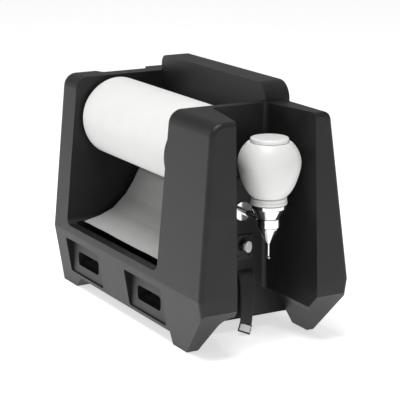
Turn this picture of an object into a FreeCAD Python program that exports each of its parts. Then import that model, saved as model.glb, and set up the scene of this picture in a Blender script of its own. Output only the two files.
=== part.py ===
"""Hand-wash caddy: a hollow moulded body with a paper roll, a globe soap dispenser and a strap.

Frame: +X along the roll towards the soap compartment, +Y from the open front to the back,
+Z up, origin on the floor at the body's front left corner line (x = 0, y = 0 are the widest faces).
Every size is a cell of the sheet "dims"; each sub-part's features are bound to those cells.
"""
import FreeCAD, Part
import math
import os
from types import SimpleNamespace

import Sketcher
from FreeCAD import Placement, Rotation, Vector

os.makedirs("parts", exist_ok=True)
doc = FreeCAD.newDocument("wash_caddy")
dims = doc.addObject("Spreadsheet::Sheet", "dims")

SIZES = {
    # moulded body, outside
    "body_width": 468, "body_depth": 238, "top_height": 329, "panel_top": 354,
    "belt_height": 90.5, "front_lean": 23, "back_lean": 28.5, "side_lean": 9, "foot_lean": 15,
    "chamfer_width": 65, "chamfer_height": 71, "top_round": 20, "back_round": 12, "belt_round": 14, "corner_round": 7,
    # moulded body, roll compartment
    "wall_left": 44, "roll_bay_right": 342, "panel_front": 169.4, "lip_height": 101.4,
    "lip_thickness": 16, "tray_floor": 60, "bay_round": 12,
    "panel_left": 43, "panel_right": 353, "panel_round_left": 14, "panel_round_right": 25,
    # moulded body, soap compartment
    "partition": 15.8, "post_rear_in": 81, "post_rear_out": 57.2,
    "back_in": 168.6, "back_out": 185, "soap_round": 8,
    # moulded body, underside
    "underside": 18.5, "foot_left_end": 46, "foot_slope": 22, "foot_depth": 34, "arch_height": 60,
    "arch_front": 30, "arch_back": 204, "arch_round": 36,
    # moulded body, details
    "recess_depth": 16, "recess_front": 78, "recess_back": 160, "recess_floor": 112,
    "pocket_left": 37, "pocket_pitch": 200.5, "pocket_width": 114, "pocket_low": 24,
    "pocket_high": 79, "pocket_back": 13.5, "slot_width": 71, "slot_tall": 21.5, "slot_low": 38.5,
    "slot_depth": 26, "slot_round": 6, "skin": 4.5,
    "boss_radius": 61, "boss_left": 6, "boss_right": 10.5, "boss_y": 80, "boss_z": 260,
    "strap_slot_z": 88, "strap_slot_tall": 4,
    # roll and its spindle
    "roll_y": 88, "roll_z": 266, "roll_radius": 60.5, "roll_length": 279, "roll_gap": 1.1,
    "core_outer": 21.5, "core_wall": 1.2,
    "tube_wall": 2, "tip_radius": 8, "tip_reach": 6.5, "socket_depth": 8, "running_fit": 0.08,
    "spindle_overlap": 90, "spindle_gap": 1.4, "spindle_travel": 8, "spring_wire": 1.2,
    # loose sheet
    "sheet_thick": 0.6, "sheet_gap": 0.7,
    # soap dispenser
    "globe_x": 433, "globe_y": 127, "globe_z": 262, "globe_radius": 43.4, "globe_up": 39.5,
    "globe_down": 55.7, "globe_wall": 2, "neck_radius": 22, "mouth_radius": 24,
    "neck_bottom": 206, "neck_top": 215,
    "lid_radius": 26.4, "lid_sink": 10.7, "lid_tall": 6.8, "lid_plug": 4, "lid_fit": 0.3,
    "collar_radius": 25.2, "collar_low": 205, "collar_high": 214,
    "bell_top": 204.4, "bell_radius": 24.6, "bell_low": 185, "waist_radius": 15.3,
    "waist_low": 171.5, "cone_top": 199.3, "nozzle_tip_z": 148.4, "nozzle_tip_radius": 2.6, "rod_radius": 1.5,
    "rod_end": 131, "tip_flare": 2.8, "tip_tall": 4,
    "plate_radius": 30, "plate_thick": 4, "plate_z": 196, "screw_circle": 21, "screw_radius": 2,
    "screw_head": 4.2, "nut_radius": 4.4, "nut_thick": 3.2, "arm_radius": 4.5, "arm_z": 178.5, "flange_radius": 13.5,
    "flange_thick": 3, "hub_wall": 1.2, "hub_tall": 11, "clearance": 0.3,
    # strap and buckle
    "strap_width": 25.4, "strap_thick": 1.6, "strap_y": 133, "tag_tall": 14,
    "buckle_y": 133, "buckle_z": 124, "buckle_wide": 26, "buckle_tall": 36, "buckle_thick": 2, "cam_z": 126,
    "ear_thick": 2.2, "pin_radius": 1.5, "cam_radius": 4.6, "lever_lobe": 4.7,
    "rivet_radius": 1.6,
}
for row, (alias, value) in enumerate(SIZES.items(), start=1):
    dims.set("A%d" % row, alias)
    dims.set("B%d" % row, str(value))
    dims.setAlias("B%d" % row, alias)
doc.recompute()


def size(alias):
    """The sheet's number for one alias."""
    return float(dims.get(alias))



class Tied:
    """A length that carries both its expression on the sheet and its value now."""

    def __init__(self, text, value):
        self.text = text
        self.value = value

    def __add__(self, other):
        return joined(self, "+", other, self.value + value_of(other))

    def __sub__(self, other):
        return joined(self, "-", other, self.value - value_of(other))

    def __mul__(self, other):
        return joined(self, "*", other, self.value * value_of(other))

    def __truediv__(self, other):
        return joined(self, "/", other, self.value / value_of(other))

    def __radd__(self, other):
        return joined(other, "+", self, value_of(other) + self.value)

    def __rsub__(self, other):
        return joined(other, "-", self, value_of(other) - self.value)

    def __rmul__(self, other):
        return joined(other, "*", self, value_of(other) * self.value)

    def __neg__(self):
        return 0 - self


def value_of(length):
    """A Tied length's number, or the number itself."""
    return length.value if isinstance(length, Tied) else float(length)


def text_of(length):
    """A Tied length's expression, or the number as text."""
    return length.text if isinstance(length, Tied) else "%.6g" % length


def joined(left, sign, right, value):
    """Two lengths put together in one expression."""
    return Tied("(%s %s %s)" % (text_of(left), sign, text_of(right)), value)


d = SimpleNamespace(**{alias: Tied("dims." + alias, float(value)) for alias, value in SIZES.items()})

# where the frame's origin lies: middle of the whole box in X and Y, floor in Z
origin_x = (d.globe_x + d.globe_radius) / 2
origin_y = d.body_depth / 2


def bind(thing, **lengths):
    """Tie each named property of an object to the sheet."""
    for prop, length in lengths.items():
        thing.setExpression(prop, text_of(length))


def place(thing, x=0, y=0, z=0):
    """Tie an object's position to the sheet."""
    for axis, length in (("x", x), ("y", y), ("z", z)):
        thing.setExpression("Placement.Base." + axis, text_of(length))
    return thing


TURNS = {"z": Rotation(), "x": Rotation(Vector(0, 1, 0), 90), "y": Rotation(Vector(1, 0, 0), -90)}


def block(name, low, high):
    """A box between two corners."""
    box = doc.addObject("Part::Box", name)
    for prop, start, end in zip(("Length", "Width", "Height"), low, high):
        box.setExpression(prop, text_of(end - start))
    return place(box, *low)


def rod(name, axis, radius, length, x, y, z):
    """A cylinder along +X, +Y or +Z from the point (x, y, z)."""
    cylinder = doc.addObject("Part::Cylinder", name)
    cylinder.Placement = Placement(Vector(), TURNS[axis])
    bind(cylinder, Radius=radius, Height=length)
    return place(cylinder, x, y, z)


def together(name, pieces):
    """One object that holds the union of several."""
    fuse = doc.addObject("Part::MultiFuse", name)
    fuse.Shapes = pieces
    return fuse


def minus(name, base, tools):
    """base with every tool cut away."""
    cut = doc.addObject("Part::Cut", name)
    cut.Base = base
    cut.Tool = tools[0] if len(tools) == 1 else together(name + "_tools", tools)
    return cut


def shared(name, pieces):
    """What several objects have in common."""
    common = doc.addObject("Part::MultiCommon", name)
    common.Shapes = pieces
    return common


def group_of(name, pieces):
    """Separate identical solids held in one object."""
    compound = doc.addObject("Part::Compound", name)
    compound.Links = pieces
    return compound


def outline(body, plane, points, name, offset):
    """A closed sketch of straight edges on an origin plane, every corner tied to the sheet."""
    sketch = body.newObject("Sketcher::SketchObject", name)
    support = [feature for feature in body.Origin.OriginFeatures if feature.Role == plane][0]
    sketch.AttachmentSupport = [(support, "")]
    sketch.MapMode = "FlatFace"
    sketch.setExpression("AttachmentOffset.Base.z", text_of(offset))
    corners = [Vector(value_of(u), value_of(w), 0) for u, w in points]
    count = len(points)
    for index, start in enumerate(corners):
        sketch.addGeometry(Part.LineSegment(start, corners[(index + 1) % count]), False)
    for index in range(count):
        sketch.addConstraint(Sketcher.Constraint("Coincident", index, 2, (index + 1) % count, 1))
    for index, corner in enumerate(points):
        for kind, length in zip(("DistanceX", "DistanceY"), corner):
            rule = Sketcher.Constraint(kind, -1, 1, index, 1, value_of(length))
            tag = sketch.addConstraint(rule)
            if isinstance(length, Tied):
                sketch.setExpression("Constraints[%d]" % tag, length.text)
    return sketch


def prism(name, plane, points, start, end):
    """A body whose outline on one origin plane is pulled from start to end along the other axis."""
    body = doc.addObject("PartDesign::Body", name)
    offset = -end if plane == "XZ_Plane" else start
    sketch = outline(body, plane, points, name + "_outline", offset)
    pad = body.newObject("PartDesign::Pad", name + "_pad")
    pad.Profile = sketch
    bind(pad, Length=end - start)
    return body


def turned(name, profile, x, y):
    """A body turned about the vertical line at (x, y) from a profile of radius and height."""
    body = doc.addObject("PartDesign::Body", name)
    sketch = outline(body, "XZ_Plane", profile, name + "_profile", 0)
    turn = body.newObject("PartDesign::Revolution", name + "_turn")
    turn.Profile = sketch
    turn.ReferenceAxis = (sketch, ["V_Axis"])
    turn.Angle = 360
    return place(body, x, y, 0)


def picked(shape, axis, low, high):
    """Numbers of the edges that run along an axis (0, 1, 2, or None for any) inside a box."""
    found = []
    for index, edge in enumerate(shape.Edges, start=1):
        middle = edge.BoundBox.Center
        inside = all(a <= c <= b for a, c, b in zip(low, middle, high))
        if axis is not None:
            run = edge.Vertexes[-1].Point - edge.Vertexes[0].Point
            inside = inside and abs(abs(run[axis]) - edge.Length) < 1e-4
        if inside:
            found.append(index)
    return found


def soften(body, radius, axis, low, high):
    """Round a body's edges that run along an axis inside a box."""
    doc.recompute()
    before = body.Tip
    fillet = body.newObject("PartDesign::Fillet", body.Name + "_round")
    fillet.Base = (before, ["Edge%d" % index for index in picked(before.Shape, axis, low, high)])
    bind(fillet, Radius=radius)
    return body


EVERYWHERE = ((-1e4, -1e4, -1e4), (1e4, 1e4, 1e4))
SUBPARTS = {}


def keep(node, thing, x=0, y=0, z=0):
    """Name the finished object of one sub-part and move it to the frame's origin."""
    thing.Label = node
    SUBPARTS[node] = place(thing, x - origin_x, y - origin_y, z)
    return thing


# ---------------------------------------------------------------- moulded body
def outer_form():
    """The leaning, chamfered block with its rounded edges, before anything is cut from it."""
    side = prism("side_form", "YZ_Plane", [
        (d.foot_lean, 0), (d.body_depth - d.foot_lean, 0), (d.body_depth, d.belt_height),
        (d.body_depth - d.back_lean, d.top_height), (d.front_lean, d.top_height),
        (0, d.belt_height)], -1, d.body_width + 1)
    top = size("top_height")
    soften(side, d.top_round, 0, (-1e4, -1e4, top - 1), (1e4, size("body_depth") / 2, top + 1))
    soften(side, d.back_round, 0, (-1e4, size("body_depth") / 2, top - 1), (1e4, 1e4, top + 1))
    belt = size("belt_height")
    soften(side, d.belt_round, 0, (-1e4, -1e4, belt - 1), (1e4, 1e4, belt + 1))
    front = prism("front_form", "XZ_Plane", [
        (0, 0), (d.body_width - d.chamfer_width, 0), (d.body_width, d.chamfer_height),
        (d.body_width, d.belt_height), (d.body_width - d.side_lean, d.top_height + 1),
        (0, d.top_height + 1)], -1, d.body_depth + 1)
    whole = shared("outer_form", [side, front])
    doc.recompute()
    right = size("body_width") - size("chamfer_width") - 1
    chosen = picked(whole.Shape, None, (right, -1e4, 1), (1e4, 1e4, 1e4))
    chosen = [index for index in chosen if on_outline(whole.Shape.Edges[index - 1])]
    round_edges = doc.addObject("Part::Fillet", "outer_rounded")
    round_edges.Base = whole
    round_edges.Edges = [(index, size("corner_round"), size("corner_round")) for index in chosen]
    return round_edges


def on_outline(edge):
    """True for an edge of the right-hand face's outline, which leans with the side."""
    limit = size("body_width") - size("side_lean") - 0.5
    return all(vertex.Point.x > limit for vertex in edge.Vertexes) and edge.BoundBox.ZMin > 80


def bay_tools():
    """What is cut for the roll bay, its tray and the soap compartment."""
    bay = prism("bay_cut", "XZ_Plane", [
        (d.wall_left, d.lip_height), (d.roll_bay_right, d.lip_height),
        (d.roll_bay_right, d.top_height + 40), (d.wall_left, d.top_height + 40)],
        -2, d.panel_front)
    low = size("lip_height")
    soften(bay, d.bay_round, 1, (-1e4, -1e4, low - 1), (1e4, 1e4, low + 1))
    tray = prism("tray_cut", "XZ_Plane", [
        (d.wall_left + 4, d.tray_floor), (d.roll_bay_right - 4, d.tray_floor),
        (d.roll_bay_right - 4, d.lip_height + 8), (d.wall_left + 4, d.lip_height + 8)],
        d.lip_thickness, d.panel_front)
    soften(tray, d.bay_round, 1, (-1e4, -1e4, 0), (1e4, 1e4, size("tray_floor") + 1))
    inner = d.roll_bay_right + d.partition
    slope = (d.post_rear_in - d.post_rear_out) / (d.body_width - inner)
    rise = (d.back_out - d.back_in) / (d.body_width - inner)
    reach = d.body_width + 12
    soap = prism("soap_cut", "XY_Plane", [
        (inner, d.post_rear_in), (reach, d.post_rear_in - slope * (reach - inner)),
        (reach, d.back_in + rise * (reach - inner)), (inner, d.back_in)],
        -2, d.top_height + 40)
    edge_x = value_of(inner)
    soften(soap, d.soap_round, 2, (edge_x - 1, -1e4, -1e4), (edge_x + 1, 1e4, 1e4))
    return [bay, tray, soap]


def underside_tools():
    """The arch below the soap compartment, the raised underside and the gap between left feet."""
    arch = prism("arch_cut", "YZ_Plane", [
        (d.arch_front, -2), (d.arch_front + 3, 0), (d.arch_front + 12, d.arch_height),
        (d.arch_back - 22, d.arch_height), (d.arch_back, 18), (d.arch_back + 9, -2)],
        d.roll_bay_right + d.partition - 0.02, d.body_width + 12)
    high = size("arch_height")
    soften(arch, d.arch_round, 0, (-1e4, 100, high - 1), (1e4, 1e4, high + 1))
    soften(arch, d.arch_round / 2, 0, (-1e4, -1e4, high - 1), (1e4, 100, high + 1))
    under = prism("under_cut", "XZ_Plane", [
        (d.foot_left_end, -2), (d.foot_left_end + 1, 0), (d.foot_left_end + d.foot_slope, d.underside),
        (d.roll_bay_right + d.partition + 2, d.underside),
        (d.roll_bay_right + d.partition + 6, 0), (d.roll_bay_right + d.partition + 7, -2)],
        -2, d.body_depth + 2)
    gap = block("left_gap", (-2, d.foot_depth + d.foot_lean, -2),
                (d.foot_left_end + d.foot_slope, d.body_depth - d.foot_depth - d.foot_lean,
                 d.underside))
    return [arch, under, gap]


def face_tools():
    """The recess in the left face, the two front pockets with their slots and the small holes."""
    recess = prism("recess_cut", "XY_Plane", [
        (-2, d.recess_front - 3), (d.recess_depth, d.recess_front + 3),
        (d.recess_depth, d.recess_back - 3), (-2, d.recess_back + 3)],
        d.recess_floor, d.top_height + 40)
    deep = size("recess_depth")
    soften(recess, 7, 2, (deep - 1, -1e4, -1e4), (deep + 1, 1e4, 1e4))
    tools = [recess]
    for index in range(2):
        left = d.pocket_left + d.pocket_pitch * index
        pocket = prism("pocket_cut%d" % index, "XZ_Plane", [
            (left, d.pocket_low), (left + d.pocket_width, d.pocket_low),
            (left + d.pocket_width, d.pocket_high), (left, d.pocket_high)], -2, d.pocket_back)
        soften(pocket, 4, 1, *EVERYWHERE)
        start = left + (d.pocket_width - d.slot_width) / 2
        slot = prism("slot_cut%d" % index, "XZ_Plane", [
            (start, d.slot_low), (start + d.slot_width, d.slot_low),
            (start + d.slot_width, d.slot_low + d.slot_tall), (start, d.slot_low + d.slot_tall)],
            d.pocket_back - 1, d.pocket_back + d.slot_depth)
        soften(slot, d.slot_round, 1, *EVERYWHERE)
        tools += [pocket, slot]
    inner = d.roll_bay_right - 3
    outer = d.roll_bay_right + d.partition + 2
    tools.append(block("strap_slot",
                       (inner, d.strap_y - d.strap_width / 2 - 0.5, d.strap_slot_z - d.strap_slot_tall / 2),
                       (outer, d.strap_y + d.strap_width / 2 + 0.5, d.strap_slot_z + d.strap_slot_tall / 2)))
    for index, (y, z) in enumerate(screw_points()):
        tools.append(rod("screw_hole%d" % index, "x", d.screw_radius, outer - inner + 4, inner, y, z))
    for index, (y, z) in enumerate(rivet_points()):
        tools.append(rod("rivet_hole%d" % index, "x", d.rivet_radius, 8, outer - 2 - 8, y, z))
    return tools


def screw_points():
    """Where the wall plate's three screws go, as (y, z)."""
    angles = [math.radians(angle) for angle in (65, 180, 355)]
    return [(d.globe_y + d.screw_circle * math.cos(a), d.plate_z + d.screw_circle * math.sin(a))
            for a in angles]


def rivet_points():
    """Where the buckle's four rivets go, as (y, z)."""
    return [(d.buckle_y + sign_y * (d.buckle_wide / 2 - 3.5), d.buckle_z + sign_z * (d.buckle_tall / 2 - 3.5))
            for sign_y in (-1, 1) for sign_z in (-1, 1)]


def hollow_tools():
    """The closed hollows that moulding leaves inside the walls."""
    s = d.skin
    inner = d.roll_bay_right + d.partition
    return [
        block("hollow_left", (d.recess_depth + s, 34, d.tray_floor + 6),
              (d.wall_left - s, d.body_depth - 38, d.top_height - 12)),
        block("hollow_base", (d.recess_depth + s, d.pocket_back + d.slot_depth + s, d.underside + s),
              (inner - 20, d.body_depth - 20, d.tray_floor - s)),
        block("hollow_back", (d.recess_depth + s, d.panel_front + s, d.tray_floor + 6),
              (inner - 6, d.body_depth - d.back_lean - s, d.top_height - 12)),
        block("hollow_post", (inner - 10, d.front_lean + 5, d.arch_height + 6),
              (d.body_width - 14, d.post_rear_out - s + 2, d.top_height - 14)),
        block("hollow_web", (inner - 10, d.post_rear_out, d.arch_height + 6),
              (inner + 24, d.post_rear_in - s - 6, d.top_height - 14)),
        block("hollow_corner", (inner, d.back_out + s, d.arch_height + 22),
              (d.body_width - 16, d.body_depth - d.back_lean - s, d.top_height - 14)),
    ]


def make_body():
    """The one-piece moulded body."""
    panel = prism("raised_panel", "XZ_Plane", [
        (d.panel_left, d.top_height - 30), (d.panel_right, d.top_height - 30),
        (d.panel_right, d.panel_top), (d.panel_left, d.panel_top)],
        d.panel_front, d.body_depth - d.back_lean - 0.4)
    high = size("panel_top")
    soften(panel, d.panel_round_left, 1, (-1e4, -1e4, high - 30), (150, 1e4, high + 1))
    soften(panel, d.panel_round_right, 1, (300, -1e4, high - 12), (1e4, 1e4, high + 1))
    carved = minus("carved", outer_form(), bay_tools())
    left_boss = rod("left_boss", "x", d.boss_radius * 0.75, d.boss_left + 2, d.wall_left - 2, d.boss_y, d.boss_z)
    right_boss = rod("right_boss", "x", d.boss_radius, d.boss_right + 2,
                     d.roll_bay_right - d.boss_right, d.boss_y, d.boss_z)
    full = together("with_panel", [carved, panel, left_boss, right_boss])
    sockets = [
        rod("left_socket", "x", d.tip_radius + d.running_fit, d.socket_depth + 1,
            d.wall_left + d.boss_left - d.socket_depth, d.roll_y, d.roll_z),
        rod("right_socket", "x", d.tip_radius + d.running_fit, d.socket_depth + 1,
            d.roll_bay_right - d.boss_right - 1, d.roll_y, d.roll_z)]
    tools = underside_tools() + face_tools() + hollow_tools() + sockets
    return keep("body_shell", minus("body", full, tools))


# ---------------------------------------------------------------- roll, core and spindle
roll_left = d.wall_left + d.boss_left + d.roll_gap


def tube(name, axis, outer, inner, length, x, y, z):
    """A plain tube along one axis."""
    return minus(name, rod(name + "_outside", axis, outer, length, x, y, z),
                 [rod(name + "_bore", axis, inner, length + 2, x - (1 if axis == "x" else 0),
                      y, z - (1 if axis == "z" else 0))])


def make_roll():
    """The wound paper and its card core."""
    keep("paper_roll", tube("wound_paper", "x", d.roll_radius, d.core_outer, d.roll_length,
                            roll_left, d.roll_y, d.roll_z))
    keep("roll_core", tube("card_core", "x", d.core_outer, d.core_outer - d.core_wall, d.roll_length,
                           roll_left, d.roll_y, d.roll_z))


def make_spindle():
    """Two telescoping tubes with a stub at each end, and the spring between them."""
    outside = d.core_outer - d.core_wall
    bore = outside - d.tube_wall
    slide = bore - d.running_fit
    joint = roll_left + d.roll_length * 0.68
    outer = together("outer_tube_solid", [
        rod("outer_tube_wall", "x", outside, joint - roll_left, roll_left, d.roll_y, d.roll_z),
        rod("outer_tube_stub", "x", d.tip_radius, d.tip_reach + 2, roll_left - d.tip_reach,
            d.roll_y, d.roll_z)])
    keep("spindle_outer_tube", minus("outer_tube", outer, [
        rod("outer_tube_bore", "x", bore, joint - roll_left, roll_left + 3, d.roll_y, d.roll_z)]))
    start = joint - d.spindle_overlap
    far_end = d.roll_bay_right - d.boss_right - d.spindle_gap
    inner = together("inner_tube_solid", [
        rod("inner_tube_wall", "x", slide, far_end - start, start, d.roll_y, d.roll_z),
        rod("inner_tube_stub", "x", d.tip_radius, d.tip_reach + 2, far_end - 2,
            d.roll_y, d.roll_z)])
    keep("spindle_inner_tube", minus("inner_tube", inner, [
        rod("inner_tube_bore", "x", slide - d.tube_wall, far_end - start - 6, start + 3,
            d.roll_y, d.roll_z)]))
    room = value_of(start - roll_left - 3 - d.spindle_travel) - 0.3
    coil = spring_shape(9, size("spring_wire"), room, 16)
    coil.rotate(Vector(), Vector(0, 1, 0), 90)
    coil.translate(Vector(value_of(roll_left) + 3.1, size("roll_y"), size("roll_z")))
    fixed_shape("spindle_spring", coil)


def spring_shape(radius, wire, length, turns):
    """A coil spring that stands on z = 0: a round wire swept along a helix."""
    height = length - 2 * wire
    path = Part.makeHelix(height / turns, height, radius)
    ring = Part.Wire(Part.makeCircle(wire, Vector(radius, 0, 0), Vector(0, 1, 0)))
    coil = Part.Wire(path.Edges).makePipeShell([ring], True, True)
    coil.translate(Vector(0, 0, wire))
    return coil


def fixed_shape(node, shape):
    """A sub-part whose shape is worked out from the sheet's values."""
    feature = doc.addObject("Part::Feature", node)
    at = shape.Placement.Base
    feature.Shape = shape
    return keep(node, feature, at.x, at.y, at.z)


# ---------------------------------------------------------------- loose sheet
def smooth(points):
    """Points along a smooth line through the given (y, z) points."""
    curve = Part.BSplineCurve()
    curve.interpolate([Vector(0, y, z) for y, z in points])
    return curve


def make_sheet():
    """The paper that hangs from the back of the roll and comes forward over the lip."""
    ry, rz = size("roll_y"), size("roll_z")
    back = ry + size("roll_radius") + size("sheet_gap") + size("sheet_thick") / 2
    lip = size("lip_height") + size("sheet_thick") / 2 + 0.1
    line = [(back, rz), (back, rz - 24), (ry + 58, rz - 51), (ry + 50, rz - 76),
            (ry + 34, rz - 90), (ry + 24.5, rz - 107.6), (ry + 11, rz - 126.6),
            (ry - 11.5, rz - 146.5), (ry - 34, rz - 155.4), (ry - 61, lip + 3)]
    curve = smooth(line)
    half = size("sheet_thick") / 2
    first, last = curve.FirstParameter, curve.LastParameter
    params = [first + (last - first) * step / 40 for step in range(41)]
    sides = []
    for sign in (1, -1):
        side = []
        for u in params:
            tangent = curve.tangent(u)[0]
            normal = Vector(0, -tangent.z, tangent.y)
            side.append(curve.value(u) + normal * half * sign)
        spline = Part.BSplineCurve()
        spline.interpolate(side)
        sides.append(spline)
    ends = [Part.LineSegment(sides[0].EndPoint, sides[1].EndPoint).toShape(),
            Part.LineSegment(sides[1].StartPoint, sides[0].StartPoint).toShape()]
    wire = Part.Wire(Part.__sortEdges__([sides[0].toShape(), sides[1].toShape()] + ends))
    solid = Part.Face(wire).extrude(Vector(size("roll_length") - 1, 0, 0))
    solid.translate(Vector(value_of(roll_left) + 0.5, 0, 0))
    fixed_shape("paper_sheet", solid)


# ---------------------------------------------------------------- soap dispenser
def arc_points(radius, up, angles):
    """Points of a quarter ellipse about the globe's centre, as radius and height."""
    return [(radius * math.cos(math.radians(a)), d.globe_z + up * math.sin(math.radians(a)))
            for a in angles]


def make_globe():
    """The soap globe with its open mouth and neck, its lid and the seals."""
    wall = d.globe_wall
    bowl, dome = (-56, -47, -36, -24, -12, 0), (14, 28, 38)
    lid_low = d.globe_z + d.globe_up - d.lid_sink
    thin, mouth = d.globe_radius - wall, lid_low - 0.6
    outside = [(d.neck_radius, d.neck_bottom), (d.neck_radius, d.neck_top)]
    outside += arc_points(d.globe_radius, d.globe_down, bowl)
    outside += arc_points(d.globe_radius, d.globe_up, dome)
    inside = arc_points(thin, d.globe_down - wall, bowl) + arc_points(thin, d.globe_up - wall, dome)
    profile = outside + [(d.globe_radius * 0.7, mouth), (d.mouth_radius, mouth),
                         (d.mouth_radius, mouth - 3)]
    profile += inside[::-1] + [(d.neck_radius - wall, d.neck_top - 1), (d.neck_radius - wall, d.neck_bottom)]
    keep("globe", turned("globe_form", profile, 0, 0), d.globe_x, d.globe_y)
    keep("lid_gasket", tube("gasket", "z", d.lid_radius - 0.4, d.mouth_radius, 0.6, d.globe_x,
                            d.globe_y, mouth))
    plug = d.mouth_radius - d.lid_fit
    keep("globe_lid", turned("lid_form", [
        (0, lid_low - d.lid_plug), (plug, lid_low - d.lid_plug), (plug, lid_low),
        (d.lid_radius, lid_low), (d.lid_radius, lid_low + d.lid_tall * 0.6),
        (d.lid_radius - 0.8, lid_low + d.lid_tall * 0.82), (d.lid_radius - 3, lid_low + d.lid_tall * 0.93),
        (d.lid_radius * 0.5, lid_low + d.lid_tall - 0.1), (0, lid_low + d.lid_tall)], 0, 0), d.globe_x, d.globe_y)
    keep("neck_collar", tube("collar", "z", d.collar_radius, d.neck_radius,
                             d.collar_high - d.collar_low, d.globe_x, d.globe_y, d.collar_low))
    keep("neck_gasket", tube("ring_seal", "z", d.neck_radius - 0.2, d.neck_radius - 5,
                             d.neck_bottom - d.bell_top, d.globe_x, d.globe_y, d.bell_top))


def make_valve():
    """The chrome bell, nozzle and push rod under the globe."""
    thick = 2
    bore = d.rod_radius + d.running_fit
    keep("valve_bell", turned("bell_form", [
        (bore, d.bell_top - 3), (d.bell_radius, d.bell_top - 3),
        (d.bell_radius, d.bell_top), (d.neck_radius - 5, d.bell_top), (d.neck_radius - 5, d.bell_top - 1),
        (bore, d.bell_top - 1)], 0, 0), d.globe_x, d.globe_y)
    keep("valve_cup", turned("cup_form", [
        (d.bell_radius - thick, d.bell_top - 3), (d.bell_radius, d.bell_top - 3),
        (d.bell_radius, d.cone_top), (d.waist_radius + 0.9, d.bell_low),
        (d.waist_radius, d.bell_low - 1), (d.waist_radius, d.waist_low),
        (d.waist_radius - thick, d.waist_low), (d.waist_radius - thick, d.bell_low - 1),
        (d.bell_radius - thick, d.cone_top - 0.5)], 0, 0), d.globe_x, d.globe_y)
    keep("valve_nozzle", turned("nozzle_form", [
        (bore, d.waist_low), (d.waist_radius, d.waist_low), (d.waist_radius - 1.5, d.waist_low - 3),
        (d.nozzle_tip_radius + 1.4, d.nozzle_tip_z + 3), (d.nozzle_tip_radius, d.nozzle_tip_z),
        (bore, d.nozzle_tip_z)], 0, 0), d.globe_x, d.globe_y)
    keep("valve_seat", tube("seat", "z", 7, bore, 3, d.globe_x, d.globe_y, d.waist_low))
    seal_low = d.waist_low + 3
    keep("plunger_seal", tube("seal", "z", 6, d.rod_radius, 2.5, d.globe_x, d.globe_y, seal_low))
    keep("plunger_rod", rod("push_rod", "z", d.rod_radius, d.bell_top - 1 - d.rod_end,
                            0, 0, 0), d.globe_x, d.globe_y, d.rod_end)
    keep("plunger_tip", turned("tip_form", [
        (0, d.rod_end - d.tip_tall), (d.tip_flare, d.rod_end - d.tip_tall), (d.tip_flare - 0.3, d.rod_end - 2),
        (d.rod_radius, d.rod_end), (0, d.rod_end)], 0, 0), d.globe_x, d.globe_y)
    foot = value_of(seal_low) + 2.6
    coil = spring_shape(4.4, 0.7, value_of(d.bell_top) - 3.1 - foot, 5)
    coil.translate(Vector(size("globe_x"), size("globe_y"), foot))
    fixed_shape("plunger_spring", coil)


def make_bracket():
    """The wall plate, its screws and nuts, and the arm that holds the valve."""
    face = d.roll_bay_right + d.partition
    plate = rod("plate_disc", "x", d.plate_radius, d.plate_thick, face, d.globe_y, d.plate_z)
    dish = minus("plate_drilled", plate, [
        rod("plate_hole%d" % index, "x", d.screw_radius, 20, face - 5, y, z)
        for index, (y, z) in enumerate(screw_points())])
    keep("wall_plate", dish)
    screws, nuts = [], []
    reach = d.plate_thick + d.partition + d.nut_thick
    for index, (y, z) in enumerate(screw_points()):
        screws.append(together("screw%d" % index, [
            rod("shank%d" % index, "x", d.screw_radius, reach + 1, face + d.plate_thick - reach, y, z),
            rod("head%d" % index, "x", d.screw_head, 2.4, face + d.plate_thick, y, z)]))
        nut = rod("nut_blank%d" % index, "x", d.nut_radius, d.nut_thick,
                  d.roll_bay_right - d.nut_thick, y, z)
        nuts.append(minus("nut%d" % index, nut, [
            rod("nut_bore%d" % index, "x", d.screw_radius, 20, d.roll_bay_right - 10, y, z)]))
    keep("plate_screws", group_of("screws", screws))
    keep("plate_nuts", group_of("nuts", nuts))
    start = face + d.plate_thick
    keep("arm_flange", tube("flange", "x", d.flange_radius, d.arm_radius, d.flange_thick, start,
                            d.globe_y, d.arm_z))
    low = d.arm_z - d.hub_tall / 2
    arm = rod("arm_bar", "x", d.arm_radius, d.globe_x - start, start, d.globe_y, d.arm_z)
    hub = rod("arm_hub", "z", d.waist_radius + d.hub_wall, d.hub_tall, d.globe_x, d.globe_y, low)
    keep("bracket_arm", minus("arm", together("arm_solid", [arm, hub]), [
        rod("arm_eye", "z", d.waist_radius, 60, d.globe_x, d.globe_y, low - 20)]))


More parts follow.
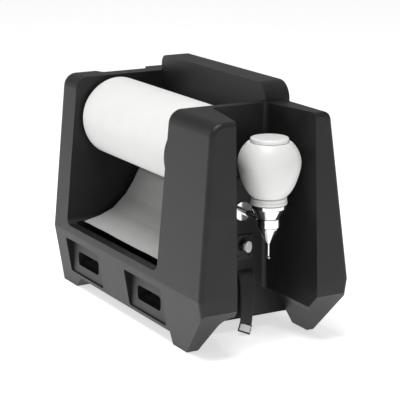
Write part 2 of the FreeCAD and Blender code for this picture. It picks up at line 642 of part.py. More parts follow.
# ---------------------------------------------------------------- strap and buckle
def make_buckle():
    """The riveted base with two ears, the cross pin and the thumb cam."""
    face = d.roll_bay_right + d.partition
    low_y, high_y = d.buckle_y - d.buckle_wide / 2, d.buckle_y + d.buckle_wide / 2
    low_z, high_z = d.buckle_z - d.buckle_tall / 2, d.buckle_z + d.buckle_tall / 2
    pin_x = face + d.buckle_thick + d.cam_radius + 0.6
    plate = block("base_plate", (face, low_y, low_z), (face + d.buckle_thick, high_y, high_z))
    ears = []
    for index, middle in enumerate((d.buckle_y - 7.5, d.buckle_y + 7.5)):
        ears.append(block("ear%d" % index, (face, middle - d.ear_thick / 2, d.cam_z - 5),
                          (pin_x + 3, middle + d.ear_thick / 2, d.cam_z + 5)))
    drilled = [rod("base_hole%d" % index, "x", d.rivet_radius, 20, face - 5, y, z)
               for index, (y, z) in enumerate(rivet_points())]
    drilled.append(rod("ear_hole", "y", d.pin_radius, 30, pin_x, d.buckle_y - 15, d.cam_z))
    keep("buckle_base", minus("base", together("base_solid", [plate] + ears), drilled))
    keep("buckle_pin", rod("cross_pin", "y", d.pin_radius, 15 + d.ear_thick + 1, 0, 0, 0),
         pin_x, d.buckle_y - 8 - d.ear_thick / 2, d.cam_z)
    rivets = []
    for index, (y, z) in enumerate(rivet_points()):
        rivets.append(together("rivet%d" % index, [
            rod("rivet_shank%d" % index, "x", d.rivet_radius, d.buckle_thick + 8.5, face - 8, y, z),
            rod("rivet_head%d" % index, "x", d.rivet_radius + 1.2, 1, face + d.buckle_thick, y, z)]))
    keep("buckle_rivets", group_of("rivets", rivets))
    width = 15 - d.ear_thick - 2 * d.clearance
    roller = rod("cam_roller", "y", d.cam_radius, width, pin_x, d.buckle_y - width / 2, d.cam_z)
    lobes = [rod("lobe%d" % index, "x", d.lever_lobe, 2.4, pin_x + d.cam_radius - 1.2,
                 d.buckle_y, d.cam_z + rise) for index, rise in enumerate((4.4, -2.6))]
    neck = block("lever_neck", (pin_x + 1, d.buckle_y - 2.6, d.cam_z - 3),
                 (pin_x + d.cam_radius + 1, d.buckle_y + 2.6, d.cam_z + 4))
    keep("buckle_cam", minus("cam", together("cam_solid", [roller, neck] + lobes), [
        rod("cam_bore", "y", d.pin_radius + d.running_fit, 30, pin_x, d.buckle_y - 15, d.cam_z)]))


def strap_line():
    """The strap's route as (x, y, z, turn): middle of the webbing and its twist in degrees."""
    face = value_of(d.roll_bay_right + d.partition)
    z, y = size("strap_slot_z"), size("strap_y")
    return [(face - 12, y, z, 0), (face + 2, y, z, 0), (face + 4.6, y, z - 0.7, 0),
            (face + 6.4, y, z - 2.8, 0)], [
        (face + 7.1, y + 0.3, z - 7, 3), (face + 8.6, y + 1.4, z - 18, 8),
        (face + 10.5, y + 0.4, z - 34, 15), (face + 13.5, y - 2.4, z - 50, 24),
        (face + 17, y - 5.5, z - 64, 31), (face + 19, y - 7.5, z - 72.5, 35)]


def make_strap():
    """The webbing, a smooth run through oblong sections, and the tag at its end."""
    flat, hanging = strap_line()
    sections = []
    for index, (x, y, z, turn) in enumerate(flat + hanging):
        before = (flat + hanging)[max(index - 1, 0)]
        after = (flat + hanging)[min(index + 1, len(flat + hanging) - 1)]
        along = Vector(*after[:3]) - Vector(*before[:3])
        if index == 0:
            along = Vector(1, 0, 0)
        sections.append(oblong(Vector(x, y, z), along.normalize(), turn,
                               size("strap_width"), size("strap_thick")))
    fixed_shape("strap_webbing", Part.makeLoft(sections, True, True))
    x, y, z, turn = hanging[-1]
    x0, y0, z0, turn0 = hanging[-2]
    along = (Vector(x, y, z) - Vector(x0, y0, z0)).normalize()
    tag_low = Vector(x, y, z) + along * size("tag_tall")
    wires = [oblong(point, along, turn, size("strap_width") - 7, size("strap_thick") - 0.2)
             for point in (Vector(x, y, z), tag_low)]
    fixed_shape("strap_tag", Part.makeLoft(wires, True, True))


def oblong(middle, along, turn, width, thick):
    """A rectangle across a direction, its long side turned from Y about that direction."""
    across = Vector(0, 1, 0) - along * along.y
    across.normalize()
    out = along.cross(across)
    angle = math.radians(turn)
    wide = across * math.cos(angle) + out * math.sin(angle)
    deep = along.cross(wide)
    corners = [middle + wide * (width / 2 * a) + deep * (thick / 2 * b)
               for a, b in ((-1, -1), (1, -1), (1, 1), (-1, 1))]
    return Part.makePolygon(corners + [corners[0]])


make_body()
make_roll()
make_spindle()
make_sheet()
make_globe()
make_valve()
make_bracket()
make_buckle()
make_strap()
doc.recompute()

for thing in doc.Objects:
    if "Invalid" in thing.State or "Error" in thing.State:
        raise RuntimeError("%s did not compute: %s" % (thing.Name, thing.State))
for node, thing in SUBPARTS.items():
    shape = thing.Shape
    if shape.isNull() or not shape.isValid():
        raise RuntimeError(node + " has no valid shape")
    box = shape.BoundBox
    print("%-20s solids %d volume %9.1f x %7.1f %7.1f y %7.1f %7.1f z %6.1f %6.1f" % (
        node, len(shape.Solids), shape.Volume, box.XMin, box.XMax, box.YMin, box.YMax,
        box.ZMin, box.ZMax))
    shape.exportStep("parts/" + node + ".step")
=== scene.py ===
# %% [markdown]
# # A portable hand-wash station
# A hollow moulded black body carries a roll of paper towels, a white globe of soap on a
# chrome valve, and a short webbing strap. The engineering model is loaded first and stays as
# it is. Everything soft, shiny or turned is then laid over it as a smoother surface, and each
# surface gets a finish made of nodes.

import bmesh
import bpy
import numpy as np
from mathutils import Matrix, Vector


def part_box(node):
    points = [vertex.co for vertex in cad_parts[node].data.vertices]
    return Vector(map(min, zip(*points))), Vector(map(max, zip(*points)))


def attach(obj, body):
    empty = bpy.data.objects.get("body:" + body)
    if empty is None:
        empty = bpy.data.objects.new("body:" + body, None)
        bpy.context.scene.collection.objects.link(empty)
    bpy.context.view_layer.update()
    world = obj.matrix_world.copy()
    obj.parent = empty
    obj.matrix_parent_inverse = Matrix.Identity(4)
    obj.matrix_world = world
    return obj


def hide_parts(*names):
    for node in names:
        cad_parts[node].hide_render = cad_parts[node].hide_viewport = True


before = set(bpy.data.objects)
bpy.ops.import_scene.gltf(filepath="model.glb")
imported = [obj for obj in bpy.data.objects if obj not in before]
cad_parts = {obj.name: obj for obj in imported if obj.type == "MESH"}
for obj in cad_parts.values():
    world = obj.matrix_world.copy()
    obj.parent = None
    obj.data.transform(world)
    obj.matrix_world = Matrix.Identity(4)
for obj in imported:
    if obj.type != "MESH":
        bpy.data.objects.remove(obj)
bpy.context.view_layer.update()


# %% [markdown]
# ## Helpers
# Every new piece is a grid of points worked out at once with numpy. One helper turns such a
# grid into a mesh, closing it round either way, and gives it a UV map in metres so that a
# weave or a crease keeps its real size.

# %% A grid of points becomes a mesh
def surface(name, points, closed_u=False, closed_v=False, uv=None, flip=False):
    """A mesh from an array of rows x columns x 3: neighbouring points make four-sided faces."""
    rows, columns = points.shape[:2]
    number = np.arange(rows * columns).reshape(rows, columns)
    right = np.roll(number, -1, axis=1) if closed_v else number[:, 1:]
    here = number if closed_v else number[:, :-1]
    if closed_u:
        here_next, right_next = np.roll(here, -1, axis=0), np.roll(right, -1, axis=0)
    else:
        here_next, right_next = here[1:], right[1:]
        here, right = here[:-1], right[:-1]
    quads = np.stack([here, right, right_next, here_next], axis=-1).reshape(-1, 4)
    if flip:
        quads = quads[:, ::-1]
    mesh = bpy.data.meshes.new(name)
    mesh.from_pydata(points.reshape(-1, 3).tolist(), [], quads.tolist())
    mesh.polygons.foreach_set("use_smooth", np.ones(len(quads), dtype=bool))
    if uv is not None:
        layer = mesh.uv_layers.new(name="UVMap")
        corner = np.zeros(len(mesh.loops), dtype=np.int32)
        mesh.loops.foreach_get("vertex_index", corner)
        layer.data.foreach_set("uv", uv.reshape(-1, 2)[corner].ravel())
    mesh.update()
    thing = bpy.data.objects.new(name, mesh)
    bpy.context.collection.objects.link(thing)
    return thing


def weld(thing, distance=1e-6):
    """Merge doubled points so that seams and poles are closed."""
    shape = bmesh.new()
    shape.from_mesh(thing.data)
    bmesh.ops.remove_doubles(shape, verts=shape.verts, dist=distance)
    bmesh.ops.dissolve_degenerate(shape, edges=shape.edges, dist=1e-8)
    bmesh.ops.recalc_face_normals(shape, faces=shape.faces)
    shape.to_mesh(thing.data)
    shape.free()
    return thing


def rounded_profile(corners, radius, steps=5):
    """A polyline of (radius, height) with each inner corner replaced by a small curve."""
    corners = np.asarray(corners, dtype=float)
    out = [corners[0]]
    for before, at, after in zip(corners[:-2], corners[1:-1], corners[2:]):
        reach = min(radius, 0.45 * np.linalg.norm(at - before), 0.45 * np.linalg.norm(after - at))
        start = at + (before - at) / np.linalg.norm(before - at) * reach
        end = at + (after - at) / np.linalg.norm(after - at) * reach
        share = np.linspace(0, 1, steps)[:, None]
        out.extend((1 - share) ** 2 * start + 2 * share * (1 - share) * at + share ** 2 * end)
    out.append(corners[-1])
    return np.array(out)


def turned(name, profile, centre, around=128):
    """A profile of (radius, height) turned about a vertical line: x = cx + r cos, y = cy + r sin."""
    profile = np.asarray(profile, dtype=float)
    angle = np.linspace(0, 2 * np.pi, around, endpoint=False)
    radius = np.repeat(profile[:, :1], around, axis=1)
    height = np.repeat(profile[:, 1:2], around, axis=1)
    points = np.stack([centre[0] + radius * np.cos(angle), centre[1] + radius * np.sin(angle),
                       height], axis=-1)
    return weld(surface(name, points, closed_v=True), 1e-7)


# %% [markdown]
# ## Finishes
# A finish is a small network of nodes around one Principled shader. Fine bumps are fed with
# Object coordinates, which are in metres, so a scale of 1000 means millimetres.

# %% Finishes from noise
def finish(name, colour, roughness, metallic=0.0, specular=0.5, coat=0.0, sheen=0.0):
    """A new material with plain values on its shader's own sockets; returns it and its shader."""
    material = bpy.data.materials.new(name)
    material.use_nodes = True
    shader = material.node_tree.nodes["Principled BSDF"]
    shader.inputs["Base Color"].default_value = (*colour, 1)
    shader.inputs["Roughness"].default_value = roughness
    shader.inputs["Metallic"].default_value = metallic
    shader.inputs["Specular IOR Level"].default_value = specular
    shader.inputs["Coat Weight"].default_value = coat
    shader.inputs["Sheen Weight"].default_value = sheen
    return material, shader


def node(material, kind, **values):
    """One more node in a material, with its input sockets set by name."""
    made = material.node_tree.nodes.new(kind)
    for socket, value in values.items():
        made.inputs[socket.replace("_", " ")].default_value = value
    return made


def wire(material, start, out_socket, end, in_socket):
    """A link between two nodes."""
    material.node_tree.links.new(start.outputs[out_socket], end.inputs[in_socket])


def speckle(material, shader, scale, height, colour_a, colour_b, rough=None, detail=4.0):
    """Noise in Object coordinates drives a bump, a slight colour change and a roughness change."""
    place = node(material, "ShaderNodeTexCoord")
    fine = node(material, "ShaderNodeTexNoise", Scale=scale, Detail=detail)
    broad = node(material, "ShaderNodeTexNoise", Scale=scale / 40, Detail=3.0)
    for noise in (fine, broad):
        wire(material, place, "Object", noise, "Vector")
    bump = node(material, "ShaderNodeBump", Strength=0.35, Distance=height)
    wire(material, fine, "Fac", bump, "Height")
    wire(material, bump, "Normal", shader, "Normal")
    ramp = node(material, "ShaderNodeValToRGB")
    ramp.color_ramp.elements[0].position, ramp.color_ramp.elements[1].position = 0.35, 0.65
    ramp.color_ramp.elements[0].color = (*colour_a, 1)
    ramp.color_ramp.elements[1].color = (*colour_b, 1)
    wire(material, broad, "Fac", ramp, "Fac")
    wire(material, ramp, "Color", shader, "Base Color")
    if rough:
        spread = node(material, "ShaderNodeMapRange")
        spread.inputs["To Min"].default_value, spread.inputs["To Max"].default_value = rough
        wire(material, broad, "Fac", spread, "Value")
        wire(material, spread, "Result", shader, "Roughness")
    return bump


moulded, shader = finish("moulded_black", (0.012, 0.012, 0.0123), 0.42, specular=0.33)
speckle(moulded, shader, 1100, 0.0005, (0.011, 0.011, 0.0112), (0.015, 0.015, 0.0152),
        (0.36, 0.48))

chrome, shader = finish("polished_chrome", (0.78, 0.78, 0.8), 0.06, metallic=1.0)
speckle(chrome, shader, 400, 0.000004, (0.76, 0.76, 0.78), (0.82, 0.82, 0.83), (0.04, 0.10))

steel, shader = finish("zinc_steel", (0.55, 0.55, 0.57), 0.3, metallic=1.0)
speckle(steel, shader, 2500, 0.00003, (0.48, 0.48, 0.5), (0.62, 0.62, 0.63), (0.22, 0.4))

black_metal, shader = finish("black_metal", (0.012, 0.012, 0.013), 0.38)
speckle(black_metal, shader, 2500, 0.00005, (0.010, 0.010, 0.011), (0.018, 0.018, 0.019),
        (0.3, 0.45))

# Near-white base colour for the chrome buckle cam: a painted highlight standing in for the bright
# glint of its chrome.
painted_glint_plate, shader = finish("painted_glint_plate", (0.85, 0.85, 0.86), 0.3, metallic=0.35)
speckle(painted_glint_plate, shader, 1500, 0.00001, (0.8, 0.8, 0.81), (0.9, 0.9, 0.91), (0.25, 0.36))

rubber, shader = finish("seal_rubber", (0.012, 0.012, 0.012), 0.7)
speckle(rubber, shader, 3000, 0.00004, (0.01, 0.01, 0.01), (0.02, 0.02, 0.02), (0.6, 0.8))

grey_plastic, shader = finish("grey_plastic", (0.12, 0.12, 0.125), 0.45)
speckle(grey_plastic, shader, 1500, 0.00008, (0.11, 0.11, 0.115), (0.14, 0.14, 0.145), (0.4, 0.5))

card, shader = finish("brown_card", (0.36, 0.25, 0.15), 0.85)
speckle(card, shader, 900, 0.0001, (0.3, 0.2, 0.12), (0.4, 0.29, 0.18), (0.8, 0.9))

white_plastic, shader = finish("white_plastic", (0.78, 0.78, 0.77), 0.3, coat=0.15)
speckle(white_plastic, shader, 300, 0.00003, (0.86, 0.86, 0.85), (0.9, 0.9, 0.89), (0.26, 0.34))

globe_white, shader = finish("globe_white", (0.78, 0.78, 0.77), 0.4, coat=0.05)
speckle(globe_white, shader, 120, 0.00005, (0.76, 0.76, 0.75), (0.82, 0.82, 0.81), (0.38, 0.46))
shader.inputs["Subsurface Weight"].default_value = 0.9
shader.inputs["Subsurface Radius"].default_value = (0.035, 0.035, 0.035)


# %% [markdown]
# ### Paper
# Kitchen paper is pressed with small dimples a few millimetres apart so that it soaks up
# water. Voronoi cells in the piece's own UV map, in metres, give the dimples; they follow the
# paper round the roll and down the loose sheet.

# %% Dimpled paper
def paper_finish(name, colour_a, colour_b, cell):
    """White tissue: cells press dimples, fine noise gives the fibres."""
    material, shader = finish(name, colour_a, 0.9, specular=0.2, sheen=0.2)
    place = node(material, "ShaderNodeTexCoord")
    cells = node(material, "ShaderNodeTexVoronoi", Scale=1 / cell, Randomness=0.25)
    fibres = node(material, "ShaderNodeTexNoise", Scale=1800.0, Detail=5.0)
    cloud = node(material, "ShaderNodeTexNoise", Scale=30.0, Detail=3.0)
    for texture in (cells, fibres, cloud):
        wire(material, place, "UV", texture, "Vector")
    dimples = node(material, "ShaderNodeBump", Strength=0.3, Distance=0.0005)
    wire(material, cells, "Distance", dimples, "Height")
    fibre = node(material, "ShaderNodeBump", Strength=0.25, Distance=0.0001)
    wire(material, fibres, "Fac", fibre, "Height")
    wire(material, dimples, "Normal", fibre, "Normal")
    wire(material, fibre, "Normal", shader, "Normal")
    ramp = node(material, "ShaderNodeValToRGB")
    ramp.color_ramp.elements[0].color = (*colour_a, 1)
    ramp.color_ramp.elements[1].color = (*colour_b, 1)
    wire(material, cloud, "Fac", ramp, "Fac")
    wire(material, ramp, "Color", shader, "Base Color")
    return material


roll_paper = paper_finish("roll_paper", (0.76, 0.76, 0.75), (0.82, 0.82, 0.81), 0.004)
# The loose sheet's paper is coloured dark grey as painted shade; the real paper is as white as the
# roll's.
painted_shade_sheet_paper = paper_finish("painted_shade_sheet_paper", (0.37, 0.37, 0.366), (0.43, 0.43, 0.425), 0.004)

# %% [markdown]
# ### Webbing
# Webbing is a plain weave. Two sets of waves at right angles in the strap's UV map, one along
# it and one across it, multiply into the small bumps where threads pass over each other.

# %% Woven webbing
def webbing_finish():
    """Black weave: a wave across times a wave along gives the bumps of the crossing threads."""
    material, shader = finish("black_webbing", (0.012, 0.012, 0.013), 0.7, specular=0.3, sheen=0.3)
    place = node(material, "ShaderNodeTexCoord")
    waves = []
    for direction, scale in (("X", 420.0), ("Y", 260.0)):
        wave = node(material, "ShaderNodeTexWave", Scale=scale, Distortion=0.6)
        wave.bands_direction = direction
        wire(material, place, "UV", wave, "Vector")
        waves.append(wave)
    product = node(material, "ShaderNodeMath")
    product.operation = "MULTIPLY"
    material.node_tree.links.new(waves[0].outputs["Fac"], product.inputs[0])
    material.node_tree.links.new(waves[1].outputs["Fac"], product.inputs[1])
    bump = node(material, "ShaderNodeBump", Strength=0.6, Distance=0.0004)
    wire(material, product, "Value", bump, "Height")
    wire(material, bump, "Normal", shader, "Normal")
    # The weave height also sets the colour: painted shade in the low places between thread crossings
    # and a painted sheen on the raised ones.
    ramp = node(material, "ShaderNodeValToRGB")
    ramp.color_ramp.elements[0].color = (0.008, 0.008, 0.009, 1)
    ramp.color_ramp.elements[1].color = (0.03, 0.03, 0.032, 1)
    wire(material, product, "Value", ramp, "Fac")
    wire(material, ramp, "Color", shader, "Base Color")
    return material


webbing = webbing_finish()
label, shader = finish("label_cloth", (0.88, 0.88, 0.87), 0.8, sheen=0.2)
speckle(label, shader, 1500, 0.0001, (0.86, 0.86, 0.85), (0.92, 0.92, 0.91), (0.75, 0.9))

# %% [markdown]
# ## The engineering pieces keep their shape
# The moulded body, the screws, the springs and the buckle are already right. They only get
# their finish.

# %% Finishes for the engineering pieces
FINISH_OF = {
    "body_shell": moulded, "wall_plate": black_metal, "arm_flange": chrome,
    "plate_screws": steel, "plate_nuts": steel, "bracket_arm": chrome,
    "lid_gasket": white_plastic, "neck_gasket": rubber, "valve_seat": rubber,
    "plunger_spring": steel, "buckle_base": black_metal, "buckle_pin": steel,
    "buckle_rivets": black_metal, "roll_core": card, "spindle_outer_tube": grey_plastic,
    "spindle_spring": steel, "spindle_inner_tube": grey_plastic, "plunger_rod": chrome,
    "plunger_seal": rubber, "plunger_tip": chrome, "buckle_cam": painted_glint_plate,
}
for name, material in FINISH_OF.items():
    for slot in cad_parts[name].material_slots:
        slot.material = material
print("finished", len(FINISH_OF), "engineering pieces")


# %% [markdown]
# ## The camera
# A long lens from the front right, a little above, as if standing two metres away.

# %% Camera
eye = Vector((1.9789, -1.0998, 0.7358))
looking = Vector((-0.8461, 0.4743, -0.2433))
camera = bpy.data.objects.new("camera", bpy.data.cameras.new("camera"))
camera.data.lens = 142.89
camera.data.sensor_width = 36
camera.location = eye
camera.rotation_euler = looking.to_track_quat("-Z", "Y").to_euler()
bpy.context.collection.objects.link(camera)
bpy.context.scene.camera = camera

# %% [markdown]
# ## The strap
# A short tail of 25 mm webbing comes out of a slot in the wall, bends down and hangs, turning
# a little before the blank label at its end. Its middle line is a smooth spline through a few
# route points. A flat band is then carried along the points read from that spline.

# %% Strap
ROUTE = [(0.1076, 0.014, 0.088), (0.1216, 0.014, 0.088), (0.1262, 0.014, 0.0872),
         (0.1279, 0.0143, 0.081), (0.1282, 0.0154, 0.070), (0.1301, 0.0144, 0.054),
         (0.1331, 0.0116, 0.038), (0.1366, 0.0085, 0.024), (0.1386, 0.0065, 0.0155)]
TURN = np.radians([0, 0, 0, -1, -3, -7, -12, -17, -20])
STRAP_WIDTH, STRAP_THICK = 0.0254, 0.0016
TAG_TURN = np.radians(6)


def spline_points(route):
    """Points along a NURBS spline whose control points are the route."""
    curve = bpy.data.curves.new("strap_line", "CURVE")
    curve.dimensions = "3D"
    spline = curve.splines.new("NURBS")
    spline.points.add(len(route) - 1)
    spline.points.foreach_set("co", np.hstack([route, np.ones((len(route), 1))]).ravel())
    spline.order_u = 3
    spline.use_endpoint_u = True
    curve.resolution_u = 12
    line = bpy.data.objects.new("strap_line", curve)
    bpy.context.collection.objects.link(line)
    mesh = bpy.data.meshes.new_from_object(line)
    points = np.zeros(len(mesh.vertices) * 3)
    mesh.vertices.foreach_get("co", points)
    bpy.data.objects.remove(line)
    return points.reshape(-1, 3)


def band_frames(line, turn):
    """Directions along, across and out of a band: across starts on Y and turns about the line."""
    along = np.gradient(line, axis=0)
    along /= np.linalg.norm(along, axis=1, keepdims=True)
    across = np.array([0, 1, 0]) - along * along[:, 1:2]
    across /= np.linalg.norm(across, axis=1, keepdims=True)
    out = np.cross(along, across)
    angle = turn[:, None]
    wide = across * np.cos(angle) + out * np.sin(angle)
    return along, wide, np.cross(along, wide)


def band(name, line, turn, width, thick, crown=0.0):
    """A flat band with rounded edges: each cross-section is a flattened superellipse."""
    along, wide, deep = band_frames(line, turn)
    angle = np.linspace(0, 2 * np.pi, 40, endpoint=False)
    flat = np.sign(np.cos(angle)) * np.abs(np.cos(angle)) ** 0.25 * width / 2
    height = np.sign(np.sin(angle)) * np.abs(np.sin(angle)) ** 0.6 * thick / 2
    height = height + crown * (1 - (2 * flat / width) ** 2)
    points = (line[:, None] + wide[:, None] * flat[None, :, None]
              + deep[:, None] * height[None, :, None])
    length = np.concatenate([[0], np.cumsum(np.linalg.norm(np.diff(line, axis=0), axis=1))])
    uv = np.stack(np.broadcast_arrays(flat[None, :], length[:, None]), axis=-1)
    shell = surface(name, points, closed_v=True, uv=uv)
    shape = bmesh.new()
    shape.from_mesh(shell.data)
    bmesh.ops.holes_fill(shape, edges=shape.edges)
    bmesh.ops.recalc_face_normals(shape, faces=shape.faces)
    shape.to_mesh(shell.data)
    shape.free()
    return shell, float(length[-1])


strap_points = spline_points(np.array(ROUTE))
stations = np.linspace(0, 1, len(strap_points))
turns = np.interp(stations, np.linspace(0, 1, len(TURN)), TURN)
strap, strap_length = band("strap", strap_points, turns, STRAP_WIDTH, STRAP_THICK)
strap.data.materials.append(webbing)
print("strap length", round(strap_length, 4))

low = strap_points[-1]
heading = strap_points[-1] - strap_points[-4]
heading /= np.linalg.norm(heading)
heading = heading + np.array([0, -0.22, 0])
heading /= np.linalg.norm(heading)
TAG_STEPS = 8
tag_line = low + heading * np.linspace(-0.0015, 0.0129, TAG_STEPS)[:, None]
tag, _ = band("strap_end", tag_line, np.full(TAG_STEPS, TAG_TURN), 0.0195, 0.0012)
tag.data.materials.append(webbing)


# The label lies on the side of the band that faces this way.
OUTWARD = np.array([0.846, -0.474, 0.243])


def label_patch():
    """A flat patch on the band's outer side: middle line plus across times u, raised 0.9 mm.

    Its middle swells by up to 0.3 mm, as puff (1 - (u / half)^4), and half is its half width.
    """
    along, wide, deep = band_frames(tag_line, np.full(TAG_STEPS, TAG_TURN))
    side = np.sign(deep[0] @ OUTWARD)
    half = 0.0082
    run = np.linspace(0.0022, 0.0122, 24)
    width = np.linspace(-half, half, 24)
    puff = 0.0003 * (1 - (width / half) ** 4)[None, :, None]
    start = tag_line[0] + heading * run[:, None]
    points = (start[:, None] + wide[0] * width[None, :, None]
              + deep[0] * side * (0.0009 + puff))
    return surface("blank_label", points, uv=points[..., :2])


patch = label_patch()
patch.data.materials.append(label)
ply = patch.modifiers.new("ply", "SOLIDIFY")
ply.thickness = 0.0003
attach(patch, "caddy")
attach(strap, "caddy")
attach(tag, "caddy")
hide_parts("strap_webbing")
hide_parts("strap_tag")


# %% [markdown]
# ## The paper roll
# A wound roll is a cylinder with faint wraps on its ends and a body that is never quite round.
# The outside is an angle by length grid; the ends are rings whose height follows a fine spiral.

# %% Roll
roll_low, roll_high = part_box("paper_roll")
AXIS_Y, AXIS_Z = (roll_low[1] + roll_high[1]) / 2, (roll_low[2] + roll_high[2]) / 2
ROLL_RADIUS = (roll_high[2] - roll_low[2]) / 2
CORE_RADIUS = (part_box("roll_core")[1][2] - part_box("roll_core")[0][2]) / 2


def roll_surface():
    """Profile from bore to bore round the X axis: r changes by a slow wave and end wraps."""
    length = roll_high[0] - roll_low[0]
    edge = 0.0022
    side = np.linspace(edge, length - edge, 60)
    face = np.linspace(CORE_RADIUS, ROLL_RADIUS - edge, 40)
    corner = np.linspace(0, np.pi / 2, 6)[1:-1]
    radius = np.concatenate([face, ROLL_RADIUS - edge + edge * np.sin(corner),
                             np.full(side.size, ROLL_RADIUS),
                             ROLL_RADIUS - edge + edge * np.cos(corner), face[::-1]])
    run = np.concatenate([np.zeros(face.size), edge - edge * np.cos(corner), side,
                          length - edge + edge * np.sin(corner), np.full(face.size, length)])
    angle = np.linspace(0, 2 * np.pi, 144, endpoint=False)
    wave = (0.00025 * np.sin(2 * angle + 0.6) + 0.0002 * np.sin(5 * angle)) - 0.00045
    on_side = np.clip((radius - ROLL_RADIUS + 0.004) / 0.004, 0, 1)
    radii = radius[:, None] + wave[None, :] * on_side[:, None]
    wraps = 0.00018 * np.sin(radius[:, None] * 5200 + angle[None, :]) * (1 - on_side)[:, None]
    sign = np.where(run < length / 2, 1, -1)[:, None]
    along = roll_low[0] + run[:, None] + (wraps + 0.0002) * sign * (1 - on_side)[:, None]
    points = np.stack([along, AXIS_Y + radii * np.cos(angle), AXIS_Z + radii * np.sin(angle)], -1)
    travel = np.concatenate([[0], np.cumsum(np.hypot(np.diff(radius), np.diff(run)))])
    uv = np.stack(np.broadcast_arrays(travel[:, None], (angle * ROLL_RADIUS)[None, :]), -1)
    return surface("wound_roll", points, closed_v=True, uv=uv, flip=True)


wound = roll_surface()
wound.data.materials.append(roll_paper)
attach(wound, "roll")
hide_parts("paper_roll")

# %% [markdown]
# ## The loose sheet
# The free end leaves the back of the roll, falls behind it and comes forward in one long
# curve to rest on the front lip. The curve of its edge is carried along the roll; small waves
# grow towards the free edge, where nothing holds the paper flat.

# %% Sheet
sheet_low, sheet_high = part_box("paper_sheet")


def sheet_surface():
    """Edge line (y, z) swept along X; a wave of up to 0.5 mm lifts it along its normal."""
    out, down = AXIS_Y, AXIS_Z
    line = np.array([(out + 0.0615, down), (out + 0.0615, down - 0.024),
                     (out + 0.058, down - 0.051), (out + 0.050, down - 0.076),
                     (out + 0.034, down - 0.090), (out + 0.0245, down - 0.1076),
                     (out + 0.011, down - 0.1266), (out - 0.0115, down - 0.1465),
                     (out - 0.034, down - 0.1554), (out - 0.061, down - 0.1612)])
    spot = np.linspace(0, 1, len(line))
    share = np.linspace(0, 1, 110)
    weights = np.exp(-((share[:, None] - spot[None, :]) / 0.055) ** 2)
    weights /= weights.sum(axis=1, keepdims=True)
    smooth = weights @ line
    smooth[0], smooth[-1] = line[0], line[-1]
    across = np.linspace(sheet_low[0], sheet_high[0], 90)
    tangent = np.gradient(smooth, axis=0)
    tangent /= np.linalg.norm(tangent, axis=1, keepdims=True)
    normal = np.stack([-tangent[:, 1], tangent[:, 0]], axis=1)
    grow = share[:, None] ** 2 * (1 - 0.6 * share[:, None])
    wave = grow * (0.0009 * np.sin(across[None, :] * 38 + 3 * share[:, None])
                   + 0.0004 * np.sin(across[None, :] * 95 - 4 * share[:, None]))
    y = smooth[:, :1] + normal[:, :1] * wave
    z = smooth[:, 1:] + normal[:, 1:] * wave
    points = np.stack([np.broadcast_to(across, y.shape), y, z], axis=-1)
    travel = np.concatenate([[0], np.cumsum(np.linalg.norm(np.diff(smooth, axis=0), axis=1))])
    uv = np.stack(np.broadcast_arrays(across[None, :], travel[:, None]), -1)
    return surface("loose_sheet", points, uv=uv), float(travel[-1])


sheet, sheet_length = sheet_surface()
sheet.data.materials.append(painted_shade_sheet_paper)
thick = sheet.modifiers.new("ply", "SOLIDIFY")
thick.thickness = 0.0004
thick.offset = 0
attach(sheet, "caddy")
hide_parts("paper_sheet")
print("sheet", round(sheet_high[0] - sheet_low[0], 4), "by", round(sheet_length, 4))

# %% [markdown]
# ## The soap globe
# The globe is blown plastic: a flattened dome above its widest line and a longer, pointed
# bowl below it, then a neck. Both halves are quarter ellipses, so one profile turned round
# the globe's upright line makes it, with an inner wall for its open mouth.

# %% Globe
globe_low, globe_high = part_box("globe")
CENTRE = ((globe_low[0] + globe_high[0]) / 2, (globe_low[1] + globe_high[1]) / 2)
WIDEST, UP, DOWN = 0.262, 0.0395, 0.0557
GLOBE_RADIUS = (globe_high[0] - globe_low[0]) / 2


def globe_profile(inset):
    """Neck to mouth: r = R sqrt(1 - (h / a)^2); a is longer below, and a sine takes off 3 %."""
    low, high = 0.2155, 0.2901
    start = 0.15
    bowl = -np.cos(np.linspace(start, np.pi / 2, 40)) * (WIDEST - low) / np.cos(start)
    dome = np.sin(np.linspace(0, np.pi / 2, 40))[1:] * (high - WIDEST)
    height = WIDEST + np.concatenate([bowl, dome])
    reach = np.where(height < WIDEST, DOWN, UP) - inset
    radius = (GLOBE_RADIUS - inset) * np.sqrt(np.clip(1 - ((height - WIDEST) / reach) ** 2, 0, 1))
    below = np.clip((WIDEST - height) / (WIDEST - low), 0, 1)
    radius = radius * (1 - 0.032 * np.sin(np.pi * below) ** 1.5)
    return np.stack([radius, height], axis=1)


outer, inner = globe_profile(0.0), globe_profile(0.002)
NECK, NECK_BORE, NECK_LOW, NECK_HIGH = 0.0219, 0.020, 0.2061, 0.2135
neck_out = np.array([(NECK_BORE, NECK_LOW), (NECK, NECK_LOW), (NECK, NECK_HIGH)])
mouth = np.array([(outer[-1, 0] - 0.0006, 0.2904), (0.0245, 0.2904), (0.024, 0.2898),
                  (0.024, 0.286)])
neck_in = [(NECK_BORE, NECK_HIGH), (NECK_BORE, NECK_LOW)]
globe_line = np.concatenate([neck_out, outer, mouth, inner[::-1][6:], neck_in])
globe = turned("soap_globe", globe_line, CENTRE)
globe.data.materials.append(globe_white)
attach(globe, "caddy")
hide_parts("globe")

lid_line = rounded_profile([(0, 0.2868), (0.0234, 0.2868), (0.0234, 0.2909), (0.0264, 0.2909),
                            (0.0264, 0.2966), (0.0225, 0.2972), (0.012, 0.29755),
                            (0, 0.2976)], 0.0022, 7)
lid = turned("globe_lid_cap", lid_line, CENTRE)
lid.data.materials.append(white_plastic)
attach(lid, "lid")
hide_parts("globe_lid")

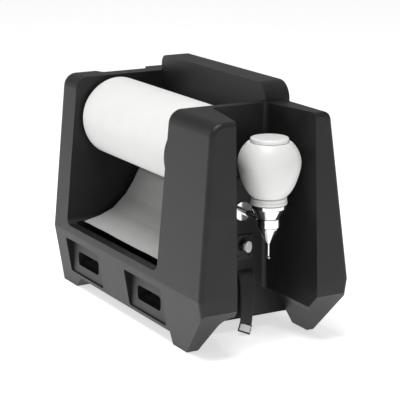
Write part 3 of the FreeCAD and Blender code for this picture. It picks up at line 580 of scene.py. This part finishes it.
collar_line = rounded_profile([(0.022, 0.205), (0.0252, 0.205), (0.0252, 0.2085), (0.0246, 0.2092),
                               (0.0246, 0.214), (0.022, 0.214)], 0.0009, 6)
collar = turned("collar_ring", np.vstack([collar_line, collar_line[:1]]), CENTRE, around=288)
collar.data.materials.append(white_plastic)
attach(collar, "caddy")
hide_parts("neck_collar")

# %% [markdown]
# ## The chrome valve
# The valve is a turned and plated bell with a waist, and a cone that ends in a narrow tip.
# Its corners are rounded before it is turned, because a sharp corner never catches the light.

# %% Valve
bell_line = rounded_profile([(0.0170, 0.2044), (0.0246, 0.2044), (0.0246, 0.1993), (0.0238, 0.1983),
                             (0.0164, 0.1853), (0.0153, 0.1838), (0.0153, 0.1716),
                             (0.0133, 0.1716)], 0.0008, 6)
bell = turned("valve_bell_skin", bell_line, CENTRE)
inside = bell.modifiers.new("wall", "SOLIDIFY")
inside.thickness = 0.0012
nozzle_line = rounded_profile([(0.0016, 0.1714), (0.0151, 0.1714), (0.0148, 0.1698),
                               (0.0042, 0.1512), (0.0027, 0.1484), (0.0016, 0.1484)], 0.0012, 6)
nozzle = turned("valve_nozzle_skin", nozzle_line, CENTRE)
for piece, nodes in ((bell, ("valve_bell", "valve_cup")), (nozzle, ("valve_nozzle",))):
    piece.data.materials.append(chrome)
    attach(piece, "caddy")
    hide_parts(*nodes)
print("soap set made")

# %% [markdown]
# ## Floor and light
# A pale floor, a white surround and two broad soft lamps. The floor glows a little so that
# slanted undersides pick light up from it, as they do on a white table.

# %% Floor, surround and lamps
bpy.ops.mesh.primitive_plane_add(size=40)
floor = bpy.context.object
floor.name = "pale_floor"
floor_finish, shader = finish("pale_floor", (0.93, 0.93, 0.93), 0.8, specular=0.1)
shader.inputs["Emission Color"].default_value = (1, 1, 1, 1)
shader.inputs["Emission Strength"].default_value = 0.62
floor.data.materials.append(floor_finish)

world = bpy.data.worlds.new("surround")
world.use_nodes = True
world.node_tree.nodes["Background"].inputs["Color"].default_value = (1, 1, 1, 1)
world.node_tree.nodes["Background"].inputs["Strength"].default_value = 0.32
bpy.context.scene.world = world
bpy.context.scene.view_settings.view_transform = "Standard"


def lamp(name, place, size, power):
    """A square soft lamp that faces the middle of the object."""
    light = bpy.data.lights.new(name, "AREA")
    light.shape = "SQUARE"
    light.size = size
    light.energy = power
    thing = bpy.data.objects.new(name, light)
    thing.location = place
    aim = Vector((0, 0, 0.18)) - Vector(place)
    thing.rotation_euler = aim.to_track_quat("-Z", "Y").to_euler()
    bpy.context.collection.objects.link(thing)
    return thing


lamp("front_lamp", (-1.6, -2.0, 1.0), 1.4, 6)
lamp("top_lamp", (0.5, -0.5, 2.3), 1.0, 38)
